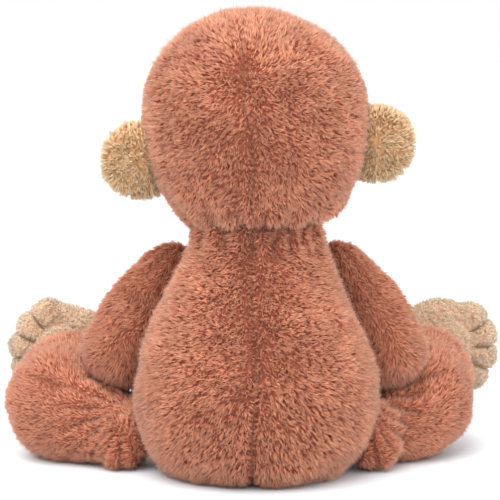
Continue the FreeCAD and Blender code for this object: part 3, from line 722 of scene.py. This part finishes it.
def tube_rows(places, radius):
    """Rings round a smooth line, closing at its ends, with the bumps of twisted thread."""
    line = smooth_line(places, 12)
    rows = []
    for index, place in enumerate(line):
        ahead = unit(line[min(index + 1, len(line) - 1)] - line[max(index - 1, 0)])
        first = unit(np.cross(ahead, [0.31, 0.17, 0.93]))
        second = np.cross(ahead, first)
        share = index / (len(line) - 1)
        rounded_end = math.sqrt(max(0.06, 1 - (2 * share - 1) ** 8))
        thick = radius * rounded_end * (1 + 0.12 * math.sin(index * 1.7))
        turn = np.linspace(0, 2 * math.pi, 8, endpoint=False)[:, None]
        rows.append(place + thick * (np.cos(turn) * first + np.sin(turn) * second))
    return rows


def joined(mesh, parts):
    """Fills the mesh with the parts, with every face turned outwards."""
    made = bmesh.new()
    for part in parts:
        made.from_mesh(part)
    bmesh.ops.recalc_face_normals(made, faces=made.faces)
    made.to_mesh(mesh)
    made.free()


def threads(name, lines, radius, body, look):
    """Several sewn threads as one piece."""
    mesh = bpy.data.meshes.new(name)
    joined(mesh, [grid_mesh(name, tube_rows(places, radius)) for places in lines])
    piece = link(name, mesh)
    mesh.materials.append(look)
    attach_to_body(piece, body)
    return piece


def on_skin(points, place, outwards, lift):
    """The place moved along the outward direction until it is that far above the skin."""
    offset = points - place
    rise = offset @ outwards
    beside = np.linalg.norm(offset - rise[:, None] * outwards, axis=1)
    return place + outwards * (rise[beside < 2.6 * MM].max() + lift)


def toe_stitches(name, kind):
    """A short stitch on the back of the hand or foot at each gap between two toes, sewn in brown that
    also stands in for the shade in the crease there, a painted shade.
    """
    size = PADDLE[kind]
    middle, along, across, back = paddle_axes(name, kind)
    points = points_of(skins[f"{name}_{kind}"])
    lines = []
    for gap in range(size["tips"] - 1):
        angle = math.radians(size["step"] * (gap - (size["tips"] - 2) / 2))
        direction = math.cos(angle) * along + math.sin(angle) * across
        line = []
        for share, lift in ((0.7, -0.8), (0.76, 0.7), (0.88, 1.0), (1.0, 0.7), (1.07, -0.8)):
            place = middle + direction * size["pad"] * share * MM
            line.append(on_skin(points, place, back, lift * MM))
        lines.append(line)
    piece = threads(f"{name}_{kind}_thread", lines, 0.5 * MM, f"{name}_{kind}", BROWN_THREAD_AND_TOE_SHADE)
    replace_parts(piece, f"{name}_{kind}_stitches")


def mouth():
    """A calm curved smile, sewn on the muzzle."""
    points = points_of(skins["muzzle"])
    line = []
    for angle in range(-60, 61, 20):
        turn = math.radians(angle)
        side, down = 13 * MM * math.sin(turn), 25 * MM + 10 * MM * math.cos(turn)
        lift = -0.6 * MM if abs(angle) == 60 else 1.5 * MM
        line.append(on_skin(points, HEAD + side * HEAD_SIDE - down * HEAD_UP, -HEAD_BACK, lift))
    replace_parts(threads("mouth_thread", [line], 0.7 * MM, "head", THREAD), "mouth_stitching")


def eye(name):
    """A polished dome with a flat back rim, set into the face."""
    low, high = box_of(name)
    place = on_skin(points_of(skins["head"]), (low + high) / 2, -HEAD_BACK, 0)
    outwards = unit((place - HEAD) * [1, 1, 0.4])
    first = unit(np.cross(outwards, [0, 0, 1]))
    second = np.cross(outwards, first)
    radius = (high[2] - low[2]) / 2
    rows = []
    dome = [(math.cos(angle), 0.75 * math.sin(angle)) for angle in np.radians(range(6, 90, 7))]
    for share, height in [(0.5, -0.5), (0.95, -0.45), (1, -0.1), *dome]:
        turn = np.linspace(0, 2 * math.pi, 40, endpoint=False)[:, None]
        ring = share * radius * (np.cos(turn) * first + np.sin(turn) * second)
        rows.append(place + ring + outwards * height * radius)
    piece = link(f"{name}_dome", grid_mesh(f"{name}_dome", rows))
    joined(piece.data, [piece.data])
    piece.data.materials.append(EYE)
    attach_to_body(piece, "head")
    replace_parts(piece, name)


# ---- materials


def colour(red, green, blue):
    """A colour from 0 to 255 as a material takes it."""

    def linear(value):
        value /= 255
        return value / 12.92 if value <= 0.04045 else ((value + 0.055) / 1.055) ** 2.4

    return (linear(red), linear(green), linear(blue), 1)


def new_material(name, roughness, sheen=0.0, sheen_tint=(1, 1, 1, 1)):
    material = bpy.data.materials.new(name)
    material.use_nodes = True
    shader = material.node_tree.nodes["Principled BSDF"]
    shader.inputs["Roughness"].default_value = roughness
    shader.inputs["Sheen Weight"].default_value = sheen
    shader.inputs["Sheen Roughness"].default_value = 0.4
    shader.inputs["Sheen Tint"].default_value = sheen_tint
    return material, material.node_tree, shader


def node(tree, kind, **values):
    made = tree.nodes.new(kind)
    for key, value in values.items():
        if key in made.inputs:
            made.inputs[key].default_value = value
        else:
            setattr(made, key, value)
    return made


def noise(tree, scale):
    """A noise over the object's own space, in bumps per metre."""
    where = tree.nodes.new("ShaderNodeTexCoord")
    texture = node(tree, "ShaderNodeTexNoise", Scale=scale, Detail=3)
    tree.links.new(where.outputs["Object"], texture.inputs["Vector"])
    return texture.outputs["Fac"]


def ramp(tree, source, stops):
    """A colour ramp from (place, colour) stops."""
    made = tree.nodes.new("ShaderNodeValToRGB")
    elements = made.color_ramp.elements
    for element, (place, value) in zip(elements, stops):
        element.position, element.color = place, value
    for place, value in stops[2:]:
        elements.new(place).color = value
    tree.links.new(source, made.inputs["Fac"])
    return made.outputs["Color"]


def multiplied(tree, first, second):
    """Two colours multiplied: the node's inputs 6 and 7, and its output 2, are its colours."""
    made = tree.nodes.new("ShaderNodeMix")
    made.data_type = "RGBA"
    made.blend_type = "MULTIPLY"
    made.inputs["Factor"].default_value = 1
    tree.links.new(first, made.inputs[6])
    tree.links.new(second, made.inputs[7])
    return made.outputs[2]


def attribute(tree, name):
    made = tree.nodes.new("ShaderNodeAttribute")
    made.attribute_name = name
    return made.outputs["Fac"]


def pile_material(name, root, body, tip, patches, sheen_tint):
    """Pile: dark at the root, pale at the tip, each lock a little different, darker with painted shade in
    seams and folds, in soft larger patches.
    """
    material, tree, shader = new_material(name, 0.85, 0.22, sheen_tint)
    shader.inputs["Specular IOR Level"].default_value = 0.25
    along = ramp(tree, attribute(tree, "height"), [(0.0, root), (1.0, tip), (0.45, body)])
    vary = node(tree, "ShaderNodeMapRange")
    vary.inputs["From Min"].default_value = -1.5
    vary.inputs["From Max"].default_value = 1.5
    tree.links.new(attribute(tree, "tone_and_painted_shade"), vary.inputs["Value"])
    # the dark end serves both locks that are darker at random and the painted shade of locks in seams and
    # folds
    dark_lock_and_painted_shade, pale_lock = (0.52, 0.45, 0.43, 1), (1.26, 1.42, 1.48, 1)
    lock = ramp(tree, vary.outputs["Result"], [(0.0, dark_lock_and_painted_shade), (1.0, pale_lock)])
    tint = multiplied(tree, along, lock)
    patch = ramp(tree, noise(tree, 38), [(0.35, patches[0]), (0.65, patches[1])])
    tree.links.new(multiplied(tree, tint, patch), shader.inputs["Base Color"])
    return material


def skin_material(name, dark, pale):
    """The knitted backing under the pile."""
    material, tree, shader = new_material(name, 0.95, 0.1)
    tree.links.new(ramp(tree, noise(tree, 420), [(0.35, dark), (0.7, pale)]), shader.inputs["Base Color"])
    bump = node(tree, "ShaderNodeBump", Strength=0.4, Distance=0.0006)
    tree.links.new(noise(tree, 900), bump.inputs["Height"])
    tree.links.new(bump.outputs["Normal"], shader.inputs["Normal"])
    return material


TERRACOTTA_PILE = pile_material(
    "terracotta_pile", colour(138, 62, 42), colour(232, 141, 105), colour(255, 198, 164),
    (colour(238, 232, 230), colour(255, 250, 246)), (1, 0.75, 0.7, 1),
)
TAN_PILE = pile_material(
    "tan_pile", colour(196, 146, 98), colour(250, 204, 156), colour(255, 236, 204),
    (colour(236, 234, 230), colour(255, 252, 246)), (1, 0.9, 0.75, 1),
)
FOOT_PILE = pile_material(
    "foot_pile", colour(188, 148, 118), colour(243, 210, 180), colour(254, 238, 220),
    (colour(236, 234, 232), colour(255, 252, 248)), (1, 0.9, 0.8, 1),
)


def thread_material(name, dark, pale):
    """Embroidery thread with the fine bands of its stitches."""
    material, tree, shader = new_material(name, 0.6, 0.15)
    tint = ramp(tree, noise(tree, 700), [(0.35, dark), (0.7, pale)])
    tree.links.new(tint, shader.inputs["Base Color"])
    where = tree.nodes.new("ShaderNodeTexCoord")
    bands = node(tree, "ShaderNodeTexWave", Scale=420.0, Distortion=1.5)
    tree.links.new(where.outputs["Object"], bands.inputs["Vector"])
    bump = node(tree, "ShaderNodeBump", Strength=0.7, Distance=0.0004)
    tree.links.new(bands.outputs["Fac"], bump.inputs["Height"])
    tree.links.new(bump.outputs["Normal"], shader.inputs["Normal"])
    return material


def eye_material():
    """Polished black plastic with a faint brown depth and a few handling marks."""
    material, tree, shader = new_material("eye_plastic", 0.12)
    shader.inputs["Coat Weight"].default_value = 0.6
    shader.inputs["Coat Roughness"].default_value = 0.05
    tint = ramp(tree, noise(tree, 260), [(0.3, colour(12, 9, 8)), (0.75, colour(34, 24, 18))])
    tree.links.new(tint, shader.inputs["Base Color"])
    marks = node(tree, "ShaderNodeMapRange")
    marks.inputs["To Min"].default_value = 0.08
    marks.inputs["To Max"].default_value = 0.22
    tree.links.new(noise(tree, 1500), marks.inputs["Value"])
    tree.links.new(marks.outputs["Result"], shader.inputs["Roughness"])
    return material


THREAD = thread_material("dark_thread", colour(38, 26, 20), colour(74, 52, 40))
# a real stitch thread, in a brown that partly paints the shade of the creases between toes
BROWN_THREAD_AND_TOE_SHADE = thread_material("brown_thread_and_toe_shade", colour(118, 84, 54), colour(156, 116, 78))
EYE = eye_material()
TERRACOTTA_SKIN = skin_material("terracotta_backing", colour(124, 62, 44), colour(158, 86, 62))
TAN_SKIN = skin_material("tan_backing", colour(170, 126, 84), colour(200, 156, 112))
FOOT_SKIN = skin_material("foot_backing", colour(184, 146, 116), colour(210, 174, 144))


# ---- combing


def everywhere(points, normals):
    return np.ones(len(points), bool)


def torso_comb(points, normals):
    """Down the back and outwards from its middle seam."""
    outward = 0.4 * np.tanh(points[:, 0] / (3 * MM)) + points[:, 0] / (110 * MM)
    return np.stack([outward, np.zeros(len(points)), np.full(len(points), -1.0)], axis=1)


def head_comb(points, normals):
    """Away from the crown, all round."""
    parting = 0.3 * np.tanh((in_head(points)[:, :1] - 5 * MM) / (3 * MM)) * HEAD_SIDE
    return unit(points - CROWN) + parting + np.array([0, 0, -0.2])


def limb_comb(start, middle, end):
    """Along the limb, turning softly at its bend."""

    def comb(points, normals):
        first, _ = near_line(points, start, middle)
        second, _ = near_line(points, middle, end)
        mix = (first**3 / (first**3 + second**3))[:, None]
        return unit(middle - start) * (1 - mix) + unit(end - middle) * mix

    return comb


def outward_comb(centre):
    def comb(points, normals):
        return points - centre

    return comb


# ---- putting it together


def is_tan(region):
    return any(word in region for word in ("_ear", "_hand", "_foot", "muzzle"))


skins = {"torso": torso_form(), "head": head_form()}
for name, side in SIDES:
    skins[f"{name}_arm"] = arm_form(name, side)
    skins[f"{name}_leg"] = leg_form(name, side)


def held(region, points):
    """How firmly each point stays put while its skin is blown up: at the floor, seams and joints."""
    on_floor = groove(points[:, 2], 3 * MM)
    if region in ("torso", "head"):
        across = points[:, 0] if region == "torso" else in_head(points)[:, 0]
        pins = np.maximum(groove(across, 3 * MM), groove(points[:, 2] - CREASE[2], 8 * MM))
    else:
        name, kind = region.split("_")
        root = joint_place(f"{name}_{LIMBS[kind][0]}")
        pins = groove(np.linalg.norm(points - root, axis=1), 20 * MM)
    return np.maximum(pins, on_floor)


blown_up([(piece, held(region, points_of(piece))) for region, piece in skins.items()])

skins["neck"] = neck_form()
skins["muzzle"] = muzzle_form()
for name, side in SIDES:
    skins[f"{name}_ear"] = ear_form(name, side)
    skins[f"{name}_hand"] = paddle_form(name, "hand")
    skins[f"{name}_foot"] = paddle_form(name, "foot")
for piece in skins.values():
    finer(piece)

pressed(skins["torso"], torso_folds)
pressed(skins["head"], head_folds)
for name, side in SIDES:
    pressed(skins[f"{name}_arm"], arm_folds(name, side))
    pressed(skins[f"{name}_leg"], leg_folds(name, side))
    pressed(skins[f"{name}_hand"], paddle_folds(name, "hand"))
    pressed(skins[f"{name}_foot"], paddle_folds(name, "foot"))

for region, piece in skins.items():
    points = points_of(piece)
    points[:, 2] = np.maximum(points[:, 2], 0.4 * MM)
    set_points(piece, points)
    tan = is_tan(region)
    piece.data.materials.clear()
    backing = FOOT_SKIN if "_foot" in region else TAN_SKIN if tan else TERRACOTTA_SKIN
    piece.data.materials.append(backing)

face_backing = skins["head"].data
face_backing.materials.append(TAN_SKIN)
middles = in_head(rows_of(face_backing.polygons, "center").astype(float))
face_backing.polygons.foreach_set("material_index", on_face(middles).astype(np.int32))


def attach(piece, region):
    """Makes a piece move with the body of its region; the neck, which lies between two bodies, is
    attached to none, with its place baked into its points.
    """
    if region == "neck":
        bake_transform(piece)
    else:
        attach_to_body(piece, "head" if region == "muzzle" else region)


for region, piece in skins.items():
    attach(piece, region)

grown = []


def no_folds(points, normals):
    return np.zeros(len(points))


def grow(name, region, comb, keep=everywhere, folds=no_folds, tan=False, **style):
    """Pile on a region's skin, in its colour, seeded by how many piles there are already."""
    tan = tan or is_tan(region)
    look = FOOT_PILE if "_foot" in region else TAN_PILE if tan else TERRACOTTA_PILE
    piece = pile(name, skins[region], look, comb, keep, folds, seed=len(grown) + 1, **style)
    attach(piece, region)
    grown.append(piece)
    return piece


def quarter_of_torso(side, back):
    def keep(points, normals):
        above = (points[:, 2] > 2 * MM) | (normals[:, 2] > -0.9)
        return (points[:, 0] * side > 0) & (points[:, 1] * back > 0) & above

    return keep


def quarter_of_head(side, back):
    def keep(points, normals):
        local = in_head(points)
        behind = (local[:, 0] * side > 0) & (local[:, 1] * back > 0) & ~in_front(local)
        return behind & (local[:, 2] > -HEAD_BASE)

    return keep


def front_of_head(face):
    """The face or the rest of the front, clear of the eyes."""

    def keep(points, normals):
        local = in_head(points)
        clear = np.ones(len(points), bool)
        for name in ("left_eye", "right_eye"):
            low, high = box_of(name)
            socket = np.array([(low[0] + high[0]) / 2, low[1] + 4 * MM, (low[2] + high[2]) / 2])
            clear &= np.linalg.norm(points - socket, axis=1) > 7.5 * MM
        return in_front(local) & (on_face(local) == face) & clear & (local[:, 2] > -HEAD_BASE)

    return keep


def faces(direction):
    """The half of a skin that looks in the direction."""

    def keep(points, normals):
        return normals @ np.array(direction) > 0

    return keep


def not_level(points, normals):
    return np.abs(normals[:, 2]) < 0.8


TORSO_STYLE = {"length": 5 * MM, "lean": 60}
HEAD_STYLE = {"length": 4.6 * MM, "lean": 52, "mess": 0.5, "swirl": 0.9}
LIMB_STYLE = {"width": 0.52 * MM, "spacing": 0.63 * MM, "strands": 3, "spread": 0.7 * MM, "contrast": 0.4}
ARM_STYLE = {**LIMB_STYLE, "length": 5.8 * MM, "lean": 30, "mess": 0.28}
LEG_STYLE = {**LIMB_STYLE, "length": 4.6 * MM, "lean": 33, "mess": 0.3}
EAR_STYLE = {"length": 4.6 * MM, "lean": 60, "width": 0.6 * MM}
PADDLE_STYLE = {"length": 2.8 * MM, "lean": 44, "width": 0.55 * MM, "contrast": 0.4}

for name, side in SIDES:
    for place, back in (("back", 1), ("belly", -1)):
        keep = quarter_of_torso(side, back)
        fur = grow(f"torso_{place}_{name}_pile", "torso", torso_comb, keep, torso_folds, **TORSO_STYLE)
        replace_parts(fur, f"torso_{place}_{name}_panel")
    for place, back in (("back", 1), ("side", -1)):
        keep = quarter_of_head(side, back)
        fur = grow(f"head_{place}_{name}_pile", "head", head_comb, keep, head_folds, **HEAD_STYLE)
        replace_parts(fur, f"head_{place}_{name}_panel")

    comb, folds = limb_comb(*limb_line(name, side, "arm")), arm_folds(name, side)
    fur = grow(f"{name}_arm_pile", f"{name}_arm", comb, folds=folds, **ARM_STYLE)
    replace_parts(fur, f"{name}_arm_outer_panel", f"{name}_arm_inner_panel")

    comb, folds = limb_comb(*limb_line(name, side, "leg")), leg_folds(name, side)
    for place, keep in (("upper", faces([0, 0, 1])), ("lower", faces([0, 0, -1]))):
        fur = grow(f"{name}_leg_{place}_pile", f"{name}_leg", comb, keep, folds, **LEG_STYLE)
        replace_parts(fur, f"{name}_leg_{place}_panel")

    comb = outward_comb(points_of(skins[f"{name}_ear"]).mean(0))
    fur = grow(f"{name}_ear_pile", f"{name}_ear", comb, **EAR_STYLE)
    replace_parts(fur, f"{name}_ear_front_panel", f"{name}_ear_back_panel")
    for kind in ("hand", "foot"):
        middle, along, *_ = paddle_axes(name, kind)
        comb, folds = outward_comb(middle - along * 26 * MM), paddle_folds(name, kind)
        grow(f"{name}_{kind}_pile", f"{name}_{kind}", comb, folds=folds, **PADDLE_STYLE)

keep = front_of_head(False)
fur = grow("forehead_pile", "head", head_comb, keep, head_folds, length=4.5 * MM, lean=46)
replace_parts(fur, "forehead_panel")
keep = front_of_head(True)
fur = grow("face_pile", "head", head_comb, keep, length=3 * MM, lean=46, tan=True)
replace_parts(fur, "face_panel")
grow("neck_pile", "neck", torso_comb, not_level, length=5 * MM, lean=50)
comb = outward_comb(points_of(skins["muzzle"]).mean(0))
grow("muzzle_pile", "muzzle", comb, length=3 * MM, lean=42, width=0.6 * MM)

for name, side in SIDES:
    toe_stitches(name, "hand")
    toe_stitches(name, "foot")
mouth()
eye("left_eye")
eye("right_eye")
nose = frame["nodes"]["nose"].data
nose.materials.clear()
nose.materials.append(THREAD)

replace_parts(skins["torso"], "seat_panel", "torso_filling", "bean_pouch", "bean_filling")
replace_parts(skins["head"], "head_filling", "left_eye_washer", "right_eye_washer")
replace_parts(skins["muzzle"], "muzzle_panel", "muzzle_filling")
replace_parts(skins["neck"], "neck_filling")
for name, side in SIDES:
    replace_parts(skins[f"{name}_ear"], f"{name}_ear_filling")
    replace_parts(skins[f"{name}_arm"], f"{name}_arm_filling")
    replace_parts(skins[f"{name}_leg"], f"{name}_leg_filling")
    for kind, places in (("hand", ("back", "palm")), ("foot", ("instep", "sole"))):
        panels = [f"{name}_{kind}_{place}_panel" for place in places]
        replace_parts(skins[f"{name}_{kind}"], *panels, f"{name}_{kind}_filling")


# ---- floor, light and camera


def floor():
    bpy.ops.mesh.primitive_plane_add(size=60)
    ground = bpy.context.object
    ground.name = "floor"
    material, _, shader = new_material("pale_floor", 0.9)
    shader.inputs["Base Color"].default_value = (0.86, 0.9, 0.94, 1)
    shader.inputs["Specular IOR Level"].default_value = 0.1
    ground.data.materials.append(material)


def soft_sun(name, direction, strength, spread):
    """Even light from one direction, with soft-edged shadows."""
    data = bpy.data.lights.new(name, "SUN")
    data.energy, data.angle = strength, math.radians(spread)
    lamp = bpy.data.objects.new(name, data)
    bpy.context.scene.collection.objects.link(lamp)
    lamp.rotation_euler = (-Vector(direction)).to_track_quat("-Z", "Y").to_euler()


def studio():
    world = bpy.data.worlds.new("studio")
    world.use_nodes = True
    background = world.node_tree.nodes["Background"]
    background.inputs["Color"].default_value = (1, 1, 1, 1)
    background.inputs["Strength"].default_value = 1.0
    bpy.context.scene.world = world
    bpy.context.scene.view_settings.view_transform = "Standard"
    soft_sun("key", (0.35, 0.75, 1.1), 2.4, 50)
    soft_sun("fill", (-0.8, 0.9, 0.5), 0.8, 60)
    soft_sun("front", (0.3, -1, 0.7), 0.7, 60)


def camera():
    """Behind the monkey and a little above it."""
    elevation, distance = math.radians(6), 1.25
    width_in_view = 325 * MM
    aim = Vector((3.9 * MM, 0, 146.4 * MM))
    back = Vector((0, math.cos(elevation), math.sin(elevation)))
    data = bpy.data.cameras.new("camera")
    data.sensor_width = 36
    data.lens = data.sensor_width * distance / width_in_view
    viewer = bpy.data.objects.new("camera", data)
    bpy.context.scene.collection.objects.link(viewer)
    viewer.location = aim + back * distance
    viewer.rotation_euler = (-back).to_track_quat("-Z", "Y").to_euler()
    bpy.context.scene.camera = viewer


floor()
studio()
camera()
